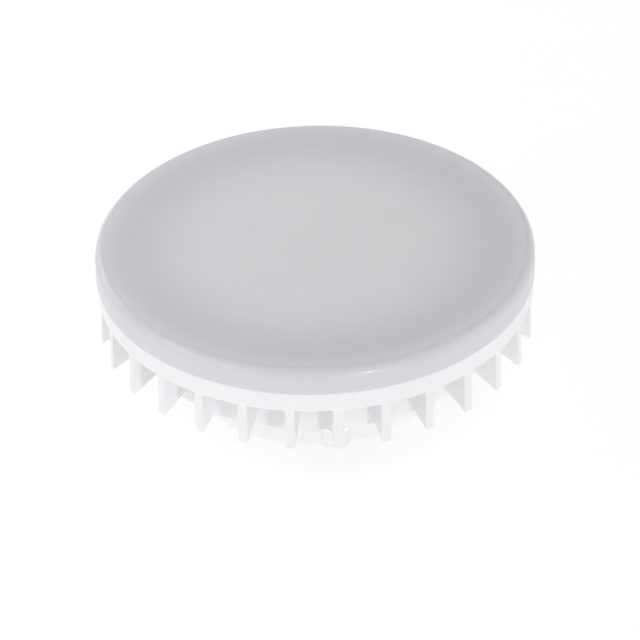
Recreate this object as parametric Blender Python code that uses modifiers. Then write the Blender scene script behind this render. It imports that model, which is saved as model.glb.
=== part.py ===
"""LED disc lamp with a two-pin twist-lock base, standing on the end of its spigot.

Z is the axis of the lamp, and light leaves it upwards. The origin is the centre of the spigot's end face.
The pieces are stacked from the bottom up, so each height is worked out from the one below it.
All sizes are in metres.
"""

import math

import bmesh
import bpy
from mathutils import Matrix, Vector

# Gap between separate pieces that touch
CLEARANCE = 0.0003

# Diffuser
DIFFUSER_RADIUS = 0.0375
DIFFUSER_HEIGHT = 0.00485
DIFFUSER_WALL = 0.0015
DIFFUSER_SHOULDER = 0.0017
DIFFUSER_CROWN = 0.0003
SKIRT_WALL = 0.0012

# Shares of the diffuser's radius, which set the lamp's other main radii
DRUM_SHARE = 0.82667
SPIGOT_SHARE = 0.57333
PIN_SHARE = 0.70667
BOSS_SHARE = 0.65333
BOARD_SHARE = 0.8

# Housing
HOUSING_WALL = 0.0016
SPIGOT_DEPTH = 0.0103
SPIGOT_EDGE = 0.0007
COLLAR_SETBACK = 0.0003
COLLAR_HEIGHT = 0.0037
COLLAR_EDGE = 0.0004
FIN_COUNT = 28
FIN_SETBACK = 0.0004
FIN_HEIGHT = 0.00785
FIN_RISE = 0.0037
FIN_TIP_THICKNESS = 0.0016
FIN_ROOT_THICKNESS = 0.0022
FIN_AZIMUTH = -97.7

# Screw bosses and driver posts moulded into the housing
BOSS_COUNT = 3
BOSS_RADIUS = 0.0027
BOSS_AZIMUTH = 6.1
POST_COUNT = 3
POST_SHARE = 0.825
POST_RADIUS = 0.0014
POST_HEIGHT = 0.0022
POST_AZIMUTH = 36.1

# Contact pins
PIN_AZIMUTH = -83.9
PIN_HEAD_RADIUS = 0.0025
PIN_HEAD_LENGTH = 0.0041
PIN_NECK_RADIUS = 0.0015
PIN_NECK_LENGTH = 0.0019
PIN_FLANGE_RADIUS = 0.0024
PIN_FLANGE_THICKNESS = 0.0007
PIN_EDGE = 0.0005

# Heat spreader and light board
SPREADER_THICKNESS = 0.0010
SPREADER_SKIRT = 0.0050
BOARD_THICKNESS = 0.0010
LEAD_HOLE_RADIUS = 0.0022
LEAD_HOLE_OFFSET = 0.0062
CHIP_LENGTH = 0.0035
CHIP_WIDTH = 0.0028
CHIP_HEIGHT = 0.0008
CONNECTOR_LENGTH = 0.0062
CONNECTOR_WIDTH = 0.0042

# Rings of light chips: their number, and the ring's share of the board's radius
CHIP_RINGS = ((12, 0.66), (6, 0.373))

# Connector's share of the height under the diffuser
CONNECTOR_SHARE = 0.8125

# Board screws
SCREW_HEAD_RADIUS = 0.0027
SCREW_HEAD_HEIGHT = 0.0016
SCREW_SHANK_RADIUS = 0.0013
SCREW_GRIP = 0.0050

# Driver
DRIVER_BOARD_MARGIN = 0.0005
DRIVER_BOARD_THICKNESS = 0.0012
INPUT_CAPACITOR_RADIUS = 0.0040
OUTPUT_CAPACITOR_RADIUS = 0.0032
FILM_CAPACITOR_WIDTH = 0.0048
FILM_CAPACITOR_LENGTH = 0.0100
INDUCTOR_RADIUS = 0.0045
RESISTOR_RADIUS = 0.0015
RECTIFIER_SIZE = (0.0047, 0.0039, 0.0024)
DRIVER_CHIP_SIZE = (0.0049, 0.0039, 0.0015)

# Heights of the driver's tall components, as shares of the height above its board
INPUT_CAPACITOR_SHARE = 0.87
OUTPUT_CAPACITOR_SHARE = 0.65
FILM_CAPACITOR_SHARE = 0.62
INDUCTOR_SHARE = 0.62
RESISTOR_SHARE = 0.43

# Places of the driver's components from the lamp's axis, as shares of its board's radius
INPUT_CAPACITOR_PLACE = (-0.438, 0.335)
OUTPUT_CAPACITOR_PLACE = (0.103, 0.541)
FILM_CAPACITOR_PLACE = (0.541, 0.206)
INDUCTOR_PLACE = (-0.464, -0.309)
RESISTOR_PLACE = (0.129, 0.103)
RECTIFIER_PLACE = (0.490, -0.515)
DRIVER_CHIP_PLACE = (0.180, -0.232)
BOARD_LEAD_PLACE = -0.64

# Leads
LEAD_RADIUS = 0.0005
LEAD_SPACING = 0.0018

# Number of facets round the housing and cover, the discs inside, the pins and the small pieces inside
LARGE_TURN = 112
DISC_TURN = 48
PIN_TURN = 24
SMALL_TURN = 16

# Heights and radii that follow from the sizes above
COLLAR_RADIUS = DIFFUSER_RADIUS - COLLAR_SETBACK
FIN_RADIUS = COLLAR_RADIUS - FIN_SETBACK
DRUM_RADIUS = DIFFUSER_RADIUS * DRUM_SHARE
SPIGOT_RADIUS = DIFFUSER_RADIUS * SPIGOT_SHARE
PIN_CIRCLE = DIFFUSER_RADIUS * PIN_SHARE
BOSS_CIRCLE = DIFFUSER_RADIUS * BOSS_SHARE
BOARD_RADIUS = DIFFUSER_RADIUS * BOARD_SHARE
FLOOR_TOP = HOUSING_WALL
BORE_RADIUS = SPIGOT_RADIUS - HOUSING_WALL
SEAT_Z = SPIGOT_DEPTH
PLATE_TOP = SEAT_Z + HOUSING_WALL
DRUM_BORE = DRUM_RADIUS - HOUSING_WALL
COLLAR_BOTTOM = SEAT_Z + FIN_HEIGHT
SHELF_TOP = COLLAR_BOTTOM + HOUSING_WALL
COLLAR_TOP = COLLAR_BOTTOM + COLLAR_HEIGHT
COLLAR_BORE = COLLAR_RADIUS - HOUSING_WALL
DIFFUSER_BOTTOM = COLLAR_TOP + CLEARANCE
DIFFUSER_TOP = DIFFUSER_BOTTOM + DIFFUSER_HEIGHT
SKIRT_RADIUS = COLLAR_BORE - CLEARANCE
SKIRT_BOTTOM = SHELF_TOP + CLEARANCE
SPREADER_RADIUS = SKIRT_RADIUS - SKIRT_WALL - CLEARANCE
SPREADER_BOTTOM = SHELF_TOP + CLEARANCE
SPREADER_TOP = SPREADER_BOTTOM + SPREADER_THICKNESS
BOARD_BOTTOM = SPREADER_TOP + CLEARANCE
BOARD_TOP = BOARD_BOTTOM + BOARD_THICKNESS
CHIP_BOTTOM = BOARD_TOP + CLEARANCE
BOSS_TOP = SPREADER_BOTTOM - CLEARANCE
DRIVER_BOARD_BOTTOM = FLOOR_TOP + POST_HEIGHT + CLEARANCE
DRIVER_BOARD_TOP = DRIVER_BOARD_BOTTOM + DRIVER_BOARD_THICKNESS
DRIVER_BOARD_RADIUS = BORE_RADIUS - DRIVER_BOARD_MARGIN
DRIVER_PART_BOTTOM = DRIVER_BOARD_TOP + CLEARANCE
DRIVER_ROOM = SPREADER_BOTTOM - DRIVER_PART_BOTTOM
POST_CIRCLE = DRIVER_BOARD_RADIUS * POST_SHARE
CEILING = DIFFUSER_TOP - DIFFUSER_CROWN - DIFFUSER_WALL
CONNECTOR_HEIGHT = (CEILING - CHIP_BOTTOM) * CONNECTOR_SHARE
SCREW_SEAT = BOARD_TOP + CLEARANCE
SCREW_TIP = SPREADER_BOTTOM - SCREW_GRIP
SCREW_HOLE_RADIUS = SCREW_SHANK_RADIUS + CLEARANCE
PIN_SHOULDER = SEAT_Z - PIN_NECK_LENGTH
PIN_END = PIN_SHOULDER - PIN_HEAD_LENGTH
PIN_FLANGE_BOTTOM = PLATE_TOP + CLEARANCE
PIN_FLANGE_TOP = PIN_FLANGE_BOTTOM + PIN_FLANGE_THICKNESS
PIN_HOLE_RADIUS = PIN_NECK_RADIUS + CLEARANCE

MERGE_DISTANCE = 0.00001
SHARP_ANGLE = math.radians(35)

# Surfaces: colour, roughness, metallic
SURFACES = {
    "white_plastic": ((0.86, 0.86, 0.87), 0.45, 0.0),
    "opal_plastic": ((0.72, 0.72, 0.75), 0.40, 0.0),
    "plated_brass": ((0.78, 0.77, 0.74), 0.28, 1.0),
    "aluminium": ((0.80, 0.81, 0.82), 0.35, 1.0),
    "board_white": ((0.90, 0.90, 0.88), 0.40, 0.0),
    "board_green": ((0.05, 0.25, 0.12), 0.40, 0.0),
    "chip_phosphor": ((0.95, 0.80, 0.30), 0.35, 0.0),
    "screw_steel": ((0.60, 0.60, 0.60), 0.30, 1.0),
    "black_epoxy": ((0.03, 0.03, 0.03), 0.45, 0.0),
    "capacitor_sleeve": ((0.04, 0.05, 0.08), 0.35, 0.0),
    "film_box": ((0.80, 0.55, 0.08), 0.40, 0.0),
    "ferrite_winding": ((0.25, 0.15, 0.10), 0.50, 0.0),
    "resistor_coat": ((0.35, 0.55, 0.60), 0.45, 0.0),
    "lead_red": ((0.65, 0.05, 0.04), 0.45, 0.0),
    "lead_black": ((0.03, 0.03, 0.03), 0.45, 0.0),
    "lead_white": ((0.85, 0.85, 0.83), 0.45, 0.0),
}


def clear_scene():
    for obj in list(bpy.data.objects):
        bpy.data.objects.remove(obj)


def new_collection(name):
    collection = bpy.data.collections.new(name)
    bpy.context.scene.collection.children.link(collection)
    return collection


def surface(name):
    """The Principled material of that name, made when it is first asked for."""
    if name in bpy.data.materials:
        return bpy.data.materials[name]
    colour, roughness, metallic = SURFACES[name]
    material = bpy.data.materials.new(name)
    material.use_nodes = True
    shader = material.node_tree.nodes["Principled BSDF"]
    shader.inputs["Base Color"].default_value = (*colour, 1.0)
    shader.inputs["Roughness"].default_value = roughness
    shader.inputs["Metallic"].default_value = metallic
    return material


def add_part(name, mesh, material):
    obj = bpy.data.objects.new(name, mesh)
    obj.data.materials.append(surface(material))
    PARTS.objects.link(obj)
    return obj


def add_cutter(name, mesh):
    obj = bpy.data.objects.new(name, mesh)
    obj.hide_render = True
    obj.display_type = "WIRE"
    CUTTERS.objects.link(obj)
    return obj


def on_circle(radius, degrees, z=0.0):
    angle = math.radians(degrees)
    return Vector((radius * math.cos(angle), radius * math.sin(angle), z))


def around(count, first):
    """Equally spaced azimuths in degrees, the first one given."""
    return [first + 360 * step / count for step in range(count)]


def arc(centre, radius, start, end, count):
    """Points of an arc in the plane of a turned profile, from one angle to another in degrees."""
    angles = [math.radians(start + (end - start) * step / count) for step in range(count + 1)]
    return [(centre[0] + radius * math.cos(a), centre[1] + radius * math.sin(a)) for a in angles]


def settle(obj):
    """Apply an object's modifiers, and shade it smooth between its sharp edges."""
    graph = bpy.context.evaluated_depsgraph_get()
    mesh = bpy.data.meshes.new_from_object(obj.evaluated_get(graph))
    obj.modifiers.clear()
    obj.data = mesh
    mesh.shade_smooth()
    mesh.set_sharp_from_angle(angle=SHARP_ANGLE)
    return obj


def turn(obj, steps):
    screw = obj.modifiers.new("turn", "SCREW")
    screw.axis = "Z"
    screw.angle = math.tau
    screw.steps = steps
    screw.render_steps = steps
    screw.use_merge_vertices = True
    screw.merge_threshold = MERGE_DISTANCE
    return obj


def profile_mesh(name, profile):
    mesh = bpy.data.meshes.new(name)
    edges = [(point, point + 1) for point in range(len(profile) - 1)]
    mesh.from_pydata([(radius, 0.0, z) for radius, z in profile], edges, [])
    return mesh


def turned_part(name, profile, material, steps=SMALL_TURN):
    """A solid of revolution. The profile starts and ends on the axis, and runs down its outer side."""
    obj = turn(add_part(name, profile_mesh(name, profile), material), steps)
    return settle(obj)


def boolean(obj, other, operation):
    modifier = obj.modifiers.new(other.name, "BOOLEAN")
    modifier.operation = operation
    modifier.object = other
    modifier.solver = "EXACT"


def box_mesh(name, size, centre, edge=0.0):
    """A box, its upright edges and rims chamfered where an edge is given."""
    mesh = bpy.data.meshes.new(name)
    shape = bmesh.new()
    bmesh.ops.create_cube(shape, size=1.0)
    stretch = Matrix.Translation(centre) @ Matrix.Diagonal((*size, 1.0))
    bmesh.ops.transform(shape, matrix=stretch, verts=shape.verts)
    if edge:
        bmesh.ops.bevel(shape, geom=shape.edges[:], offset=edge, segments=1, affect="EDGES")
    shape.to_mesh(mesh)
    shape.free()
    return mesh


def rods_mesh(name, places, radius, bottom, top, sides=SMALL_TURN):
    """Upright round rods standing at the places, as one mesh of separate solids."""
    mesh = bpy.data.meshes.new(name)
    shape = bmesh.new()
    for place in places:
        centre = Vector((place.x, place.y, (bottom + top) / 2))
        bmesh.ops.create_cone(
            shape,
            cap_ends=True,
            segments=sides,
            radius1=radius,
            radius2=radius,
            depth=top - bottom,
            matrix=Matrix.Translation(centre),
        )
    shape.to_mesh(mesh)
    shape.free()
    return mesh


def drill(obj, name, places, radius, bottom, top):
    """Cut upright round holes in an object."""
    cutter = add_cutter(name, rods_mesh(name, places, radius, bottom, top))
    boolean(obj, cutter, "DIFFERENCE")


def fin_blade():
    """One fin at azimuth 0: a flat outline stood upright, thickened towards its root."""
    bury = HOUSING_WALL / 2
    root = DRUM_RADIUS - bury
    slope = FIN_RISE / (FIN_RADIUS - DRUM_RADIUS)
    outline = [
        (root, COLLAR_BOTTOM + bury),
        (root, SEAT_Z + slope * (FIN_RADIUS - root)),
        (FIN_RADIUS, SEAT_Z),
        (FIN_RADIUS, COLLAR_BOTTOM + bury),
    ]
    curve = bpy.data.curves.new("fin_outline", "CURVE")
    curve.dimensions = "2D"
    curve.fill_mode = "BOTH"
    curve.extrude = 0.5
    spline = curve.splines.new("POLY")
    spline.points.add(len(outline) - 1)
    spline.use_cyclic_u = True
    for point, (radius, z) in zip(spline.points, outline):
        point.co = (radius, z, 0.0, 1.0)
    guide = add_cutter("fin_outline", curve)
    graph = bpy.context.evaluated_depsgraph_get()
    blade = bmesh.new()
    blade.from_mesh(bpy.data.meshes.new_from_object(guide.evaluated_get(graph)))
    bpy.data.objects.remove(guide)
    bmesh.ops.remove_doubles(blade, verts=blade.verts, dist=MERGE_DISTANCE)
    bmesh.ops.transform(blade, matrix=Matrix.Rotation(math.radians(90), 4, "X"), verts=blade.verts)
    draft = (FIN_ROOT_THICKNESS - FIN_TIP_THICKNESS) / (FIN_RADIUS - DRUM_RADIUS)
    for vertex in blade.verts:
        vertex.co.y *= FIN_TIP_THICKNESS + draft * (FIN_RADIUS - vertex.co.x)
    return blade


def fins_mesh():
    blade = fin_blade()
    one = bpy.data.meshes.new("fin")
    blade.to_mesh(one)
    blade.free()
    ring = bmesh.new()
    for azimuth in around(FIN_COUNT, FIN_AZIMUTH):
        first = len(ring.verts)
        ring.from_mesh(one)
        ring.verts.ensure_lookup_table()
        turn_to = Matrix.Rotation(math.radians(azimuth), 4, "Z")
        bmesh.ops.transform(ring, matrix=turn_to, verts=ring.verts[first:])
    bmesh.ops.recalc_face_normals(ring, faces=ring.faces)
    mesh = bpy.data.meshes.new("fins")
    ring.to_mesh(mesh)
    ring.free()
    return mesh


def boss_places():
    return [on_circle(BOSS_CIRCLE, azimuth) for azimuth in around(BOSS_COUNT, BOSS_AZIMUTH)]


def pin_places():
    return [on_circle(PIN_CIRCLE, azimuth) for azimuth in around(2, PIN_AZIMUTH)]


def make_housing():
    """One white moulding: spigot, seating plate, drum, collar, fins, screw bosses and driver posts."""
    profile = [
        (0.0, FLOOR_TOP),
        (BORE_RADIUS, FLOOR_TOP),
        (BORE_RADIUS, PLATE_TOP),
        (DRUM_BORE, PLATE_TOP),
        (DRUM_BORE, SHELF_TOP),
        (COLLAR_BORE, SHELF_TOP),
        (COLLAR_BORE, COLLAR_TOP),
        *arc((COLLAR_RADIUS - COLLAR_EDGE, COLLAR_TOP - COLLAR_EDGE), COLLAR_EDGE, 90, 0, 2),
        *arc((COLLAR_RADIUS - COLLAR_EDGE, COLLAR_BOTTOM + COLLAR_EDGE), COLLAR_EDGE, 0, -90, 2),
        (DRUM_RADIUS, COLLAR_BOTTOM),
        (DRUM_RADIUS, SEAT_Z),
        (SPIGOT_RADIUS, SEAT_Z),
        *arc((SPIGOT_RADIUS - SPIGOT_EDGE, SPIGOT_EDGE), SPIGOT_EDGE, 0, -90, 3),
        (0.0, 0.0),
    ]
    housing = turn(add_part("housing", profile_mesh("housing", profile), "white_plastic"), LARGE_TURN)
    sink = HOUSING_WALL / 2
    post_places = [on_circle(POST_CIRCLE, azimuth) for azimuth in around(POST_COUNT, POST_AZIMUTH)]
    bosses = rods_mesh("bosses", boss_places(), BOSS_RADIUS, PLATE_TOP - sink, BOSS_TOP)
    posts = rods_mesh("posts", post_places, POST_RADIUS, FLOOR_TOP - sink, FLOOR_TOP + POST_HEIGHT)
    for name, mesh in (("fins", fins_mesh()), ("bosses", bosses), ("posts", posts)):
        boolean(housing, add_cutter(name, mesh), "UNION")
    drill(housing, "pilot_holes", boss_places(), SCREW_HOLE_RADIUS, SCREW_TIP - CLEARANCE, BOSS_TOP + sink)
    drill(housing, "pin_holes", pin_places(), PIN_HOLE_RADIUS, SEAT_Z - sink, PLATE_TOP + sink)
    settle(housing)


def make_diffuser():
    """Opal cover: a shallow dish with a rounded shoulder, and a skirt that snaps into the collar."""
    crown = DIFFUSER_TOP - DIFFUSER_CROWN
    flat_radius = DIFFUSER_RADIUS - DIFFUSER_SHOULDER
    inner_shoulder = max(DIFFUSER_SHOULDER - DIFFUSER_WALL, CLEARANCE)
    inner_radius = SKIRT_RADIUS - SKIRT_WALL

    def top(radius, height):
        """A point of the gently crowned top, or of its underside."""
        return (radius, height + DIFFUSER_CROWN * (1 - (radius / flat_radius) ** 2))

    profile = [
        top(0.0, crown),
        top(flat_radius / 2, crown),
        *arc((flat_radius, crown - DIFFUSER_SHOULDER), DIFFUSER_SHOULDER, 90, 0, 4),
        (DIFFUSER_RADIUS, DIFFUSER_BOTTOM),
        (SKIRT_RADIUS, DIFFUSER_BOTTOM),
        (SKIRT_RADIUS, SKIRT_BOTTOM),
        (inner_radius, SKIRT_BOTTOM),
        *arc((inner_radius - inner_shoulder, CEILING - inner_shoulder), inner_shoulder, 0, 90, 2),
        top(flat_radius / 2, CEILING),
        top(0.0, CEILING),
    ]
    turned_part("diffuser", profile, "opal_plastic", LARGE_TURN)


def make_heat_spreader():
    """Pressed aluminium dish: its flange lies on the collar's shelf, and its skirt lines the drum."""
    skirt = DRUM_BORE - CLEARANCE
    profile = [
        (0.0, SPREADER_TOP),
        (SPREADER_RADIUS, SPREADER_TOP),
        (SPREADER_RADIUS, SPREADER_BOTTOM),
        (skirt, SPREADER_BOTTOM),
        (skirt, SPREADER_BOTTOM - SPREADER_SKIRT),
        (skirt - SPREADER_THICKNESS, SPREADER_BOTTOM - SPREADER_SKIRT),
        (skirt - SPREADER_THICKNESS, SPREADER_BOTTOM),
        (0.0, SPREADER_BOTTOM),
    ]
    spreader = turn(add_part("heat_spreader", profile_mesh("heat_spreader", profile), "aluminium"), DISC_TURN)
    drill_light_board_holes(spreader, SPREADER_BOTTOM, SPREADER_TOP)
    settle(spreader)


def drill_light_board_holes(obj, bottom, top):
    """The screw holes and the lead hole, which the heat spreader and the light board share."""
    below = bottom - CLEARANCE
    above = top + CLEARANCE
    lead_hole = [Vector((0.0, -LEAD_HOLE_OFFSET, 0.0))]
    drill(obj, obj.name + "_screw_holes", boss_places(), SCREW_HOLE_RADIUS, below, above)
    drill(obj, obj.name + "_lead_hole", lead_hole, LEAD_HOLE_RADIUS, below, above)


def make_light_board():
    disc = rods_mesh("light_board", [Vector()], BOARD_RADIUS, BOARD_BOTTOM, BOARD_TOP, DISC_TURN)
    board = add_part("light_board", disc, "board_white")
    drill_light_board_holes(board, BOARD_BOTTOM, BOARD_TOP)
    settle(board)


def chip_mesh():
    """A light-emitting chip: a small box with a shallow phosphor window, its origin in its underside."""
    mesh = box_mesh("light_chip", (CHIP_LENGTH, CHIP_WIDTH, CHIP_HEIGHT), (0, 0, CHIP_HEIGHT / 2))
    shape = bmesh.new()
    shape.from_mesh(mesh)
    lid = max(shape.faces, key=lambda face: face.calc_center_median().z)
    bmesh.ops.inset_region(shape, faces=[lid], thickness=CHIP_WIDTH / 8, depth=0.0)
    bmesh.ops.translate(shape, verts=lid.verts, vec=(0, 0, -CHIP_HEIGHT / 6))
    shape.to_mesh(mesh)
    shape.free()
    return mesh


def make_light_chips():
    mesh = chip_mesh()
    number = 0
    for count, share in CHIP_RINGS:
        for azimuth in around(count, 180 / count):
            number += 1
            chip = add_part(f"light_chip_{number:02d}", mesh.copy(), "chip_phosphor")
            chip.location = on_circle(BOARD_RADIUS * share, azimuth, CHIP_BOTTOM)
            chip.rotation_euler.z = math.radians(azimuth)


def lead_places():
    """Where the two light-board leads lie across the lamp."""
    return (-LEAD_SPACING / 2, LEAD_SPACING / 2)


def make_connector():
    """Two-pole push-in terminal at the middle of the light board."""
    centre = (0, 0, CHIP_BOTTOM + CONNECTOR_HEIGHT / 2)
    size = (CONNECTOR_LENGTH, CONNECTOR_WIDTH, CONNECTOR_HEIGHT)
    body = box_mesh("board_connector", size, centre, CLEARANCE)
    connector = add_part("board_connector", body, "board_white")
    ports = bpy.data.meshes.new("connector_ports")
    shape = bmesh.new()
    for x in lead_places():
        place = Vector((x, -CONNECTOR_WIDTH / 2, centre[2]))
        bmesh.ops.create_cone(
            shape,
            cap_ends=True,
            segments=SMALL_TURN,
            radius1=LEAD_RADIUS + CLEARANCE / 2,
            radius2=LEAD_RADIUS + CLEARANCE / 2,
            depth=CONNECTOR_WIDTH / 2,
            matrix=Matrix.Translation(place) @ Matrix.Rotation(math.radians(90), 4, "X"),
        )
    shape.to_mesh(ports)
    shape.free()
    boolean(connector, add_cutter("connector_ports", ports), "DIFFERENCE")
    settle(connector)


def make_screws():
    """Pan-head screws through the light board and the heat spreader into the bosses."""
    head = SCREW_SEAT + SCREW_HEAD_HEIGHT
    crown = SCREW_HEAD_HEIGHT / 2
    profile = [
        (0.0, head),
        (SCREW_HEAD_RADIUS - crown, head),
        *arc((SCREW_HEAD_RADIUS - crown, head - crown), crown, 60, 0, 2),
        (SCREW_HEAD_RADIUS, SCREW_SEAT),
        (SCREW_SHANK_RADIUS, SCREW_SEAT),
        (SCREW_SHANK_RADIUS, SCREW_TIP + SCREW_SHANK_RADIUS),
        (SCREW_SHANK_RADIUS / 3, SCREW_TIP),
        (0.0, SCREW_TIP),
    ]
    for number, place in enumerate(boss_places(), 1):
        screw = turned_part(f"board_screw_{number}", profile, "screw_steel")
        screw.location = place


def make_pins():
    """Mushroom-headed contact pins, flanged over the inner face of the seating plate."""
    profile = [
        (0.0, PIN_FLANGE_TOP),
        (PIN_FLANGE_RADIUS, PIN_FLANGE_TOP),
        (PIN_FLANGE_RADIUS, PIN_FLANGE_BOTTOM),
        (PIN_NECK_RADIUS, PIN_FLANGE_BOTTOM),
        (PIN_NECK_RADIUS, PIN_SHOULDER),
        *arc((PIN_HEAD_RADIUS - PIN_EDGE, PIN_SHOULDER - PIN_EDGE), PIN_EDGE, 90, 0, 2),
        *arc((PIN_HEAD_RADIUS - PIN_EDGE, PIN_END + PIN_EDGE), PIN_EDGE, 0, -90, 2),
        (0.0, PIN_END),
    ]
    for name, place in zip(("contact_pin_front", "contact_pin_rear"), pin_places()):
        pin = turned_part(name, profile, "plated_brass", PIN_TURN)
        pin.location = place


def on_driver_board(place, z=0.0):
    """A component's place, given as shares of the driver board's radius."""
    return Vector((place[0] * DRIVER_BOARD_RADIUS, place[1] * DRIVER_BOARD_RADIUS, z))


def capacitor_profile(radius, height):
    """An electrolytic can: rounded top edge and the crimped groove near its foot."""
    edge = radius / 6
    groove = height / 6
    bottom = DRIVER_PART_BOTTOM
    return [
        (0.0, bottom + height),
        *arc((radius - edge, bottom + height - edge), edge, 90, 0, 2),
        (radius, bottom + groove + edge),
        (radius - edge / 2, bottom + groove),
        (radius, bottom + groove - edge),
        (radius, bottom),
        (0.0, bottom),
    ]


def make_capacitors():
    for name, radius, share, place in (
        ("input_capacitor", INPUT_CAPACITOR_RADIUS, INPUT_CAPACITOR_SHARE, INPUT_CAPACITOR_PLACE),
        ("output_capacitor", OUTPUT_CAPACITOR_RADIUS, OUTPUT_CAPACITOR_SHARE, OUTPUT_CAPACITOR_PLACE),
    ):
        profile = capacitor_profile(radius, DRIVER_ROOM * share)
        turned_part(name, profile, "capacitor_sleeve").location = on_driver_board(place)
    height = DRIVER_ROOM * FILM_CAPACITOR_SHARE
    size = (FILM_CAPACITOR_WIDTH, FILM_CAPACITOR_LENGTH, height)
    middle = on_driver_board(FILM_CAPACITOR_PLACE, DRIVER_PART_BOTTOM + height / 2)
    box = box_mesh("film_capacitor", size, middle, FILM_CAPACITOR_WIDTH / 10)
    settle(add_part("film_capacitor", box, "film_box"))


def make_inductor():
    """A drum core with its winding between the two flanges."""
    bottom = DRIVER_PART_BOTTOM
    height = DRIVER_ROOM * INDUCTOR_SHARE
    top = bottom + height
    flange = height / 7
    winding = INDUCTOR_RADIUS * 0.86
    profile = [
        (0.0, top),
        (INDUCTOR_RADIUS, top),
        (INDUCTOR_RADIUS, top - flange),
        (winding, top - flange),
        (winding, bottom + flange),
        (INDUCTOR_RADIUS, bottom + flange),
        (INDUCTOR_RADIUS, bottom),
        (0.0, bottom),
    ]
    turned_part("inductor", profile, "ferrite_winding").location = on_driver_board(INDUCTOR_PLACE)


def make_resistor():
    """A fusible resistor standing on end, its upper wire bent back down to the board."""
    wire = RESISTOR_RADIUS / 5
    foot = DRIVER_PART_BOTTOM + wire * 2
    top = foot + DRIVER_ROOM * RESISTOR_SHARE
    waist = RESISTOR_RADIUS * 0.86
    edge = RESISTOR_RADIUS / 3
    profile = [
        (0.0, top),
        (RESISTOR_RADIUS - edge, top),
        (RESISTOR_RADIUS, top - edge),
        (RESISTOR_RADIUS, top - RESISTOR_RADIUS),
        (waist, top - RESISTOR_RADIUS - edge),
        (waist, foot + RESISTOR_RADIUS + edge),
        (RESISTOR_RADIUS, foot + RESISTOR_RADIUS),
        (RESISTOR_RADIUS, foot + edge),
        (RESISTOR_RADIUS - edge, foot),
        (0.0, foot),
    ]
    body = profile_mesh("fusible_resistor", profile)
    resistor = turn(add_part("fusible_resistor", body, "resistor_coat"), SMALL_TURN)
    bend = RESISTOR_RADIUS
    route = [(0.0, 0.0, top - edge)]
    route += [(x, 0.0, z) for x, z in arc((bend, top + wire * 2), bend, 180, 0, 4)]
    route += [(bend * 2, 0.0, DRIVER_PART_BOTTOM)]
    hairpin = add_cutter("resistor_wire", tube_mesh("resistor_wire", route, wire))
    boolean(resistor, hairpin, "UNION")
    settle(resistor).location = on_driver_board(RESISTOR_PLACE)


def package_mesh(name, size, legs):
    """A surface-mount package: a moulded body and rows of legs along its two long sides."""
    length, width, height = size
    leg = length / (legs * 2 + 1)
    body = box_mesh(name, (length, width, height * 0.8), (0, 0, height * 0.6), height / 10)
    rows = bpy.data.meshes.new(name + "_legs")
    shape = bmesh.new()
    for side in (-1, 1):
        for step in range(legs):
            x = (step - (legs - 1) / 2) * leg * 2
            place = Vector((x, side * (width / 2 + leg / 2), height / 4))
            matrix = Matrix.Translation(place) @ Matrix.Diagonal((leg, leg * 2, height / 2, 1.0))
            bmesh.ops.create_cube(shape, size=1.0, matrix=matrix)
    shape.to_mesh(rows)
    shape.free()
    return body, rows


def make_packages():
    for name, size, legs, place in (
        ("bridge_rectifier", RECTIFIER_SIZE, 2, RECTIFIER_PLACE),
        ("driver_chip", DRIVER_CHIP_SIZE, 4, DRIVER_CHIP_PLACE),
    ):
        body, rows = package_mesh(name, size, legs)
        package = add_part(name, body, "black_epoxy")
        boolean(package, add_cutter(name + "_legs", rows), "UNION")
        settle(package).location = on_driver_board(place, DRIVER_PART_BOTTOM)


def make_driver_board():
    bottom = DRIVER_BOARD_BOTTOM
    disc = rods_mesh("driver_board", [Vector()], DRIVER_BOARD_RADIUS, bottom, DRIVER_BOARD_TOP, DISC_TURN)
    settle(add_part("driver_board", disc, "board_green"))


def tube_curve(name, route, radius):
    curve = bpy.data.curves.new(name, "CURVE")
    curve.dimensions = "3D"
    curve.bevel_depth = radius
    curve.bevel_resolution = 2
    curve.use_fill_caps = True
    spline = curve.splines.new("POLY")
    spline.points.add(len(route) - 1)
    for point, place in zip(spline.points, route):
        point.co = (*place, 1.0)
    return curve


def tube_mesh(name, route, radius):
    """A tube made a closed mesh, for joining to another shape."""
    guide = add_cutter(name + "_guide", tube_curve(name, route, radius))
    graph = bpy.context.evaluated_depsgraph_get()
    mesh = bpy.data.meshes.new_from_object(guide.evaluated_get(graph))
    bpy.data.objects.remove(guide)
    shape = bmesh.new()
    shape.from_mesh(mesh)
    bmesh.ops.remove_doubles(shape, verts=shape.verts, dist=MERGE_DISTANCE)
    shape.to_mesh(mesh)
    shape.free()
    return mesh


def smooth_route(stops, per_span=3):
    """Points of a Catmull-Rom curve through the stops."""
    ends = [stops[0] * 2 - stops[1], *stops, stops[-1] * 2 - stops[-2]]
    route = []
    for before, start, end, after in zip(ends, ends[1:], ends[2:], ends[3:]):
        for step in range(per_span):
            t = step / per_span
            route.append(
                0.5
                * (
                    2 * start
                    + (end - before) * t
                    + (2 * before - 5 * start + 4 * end - after) * t**2
                    + (3 * start - before - 3 * end + after) * t**3
                )
            )
    return [*route, stops[-1]]


def add_lead(name, stops, material):
    curve = tube_curve(name, smooth_route(stops), LEAD_RADIUS)
    lead = bpy.data.objects.new(name, curve)
    curve.materials.append(surface(material))
    PARTS.objects.link(lead)


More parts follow.
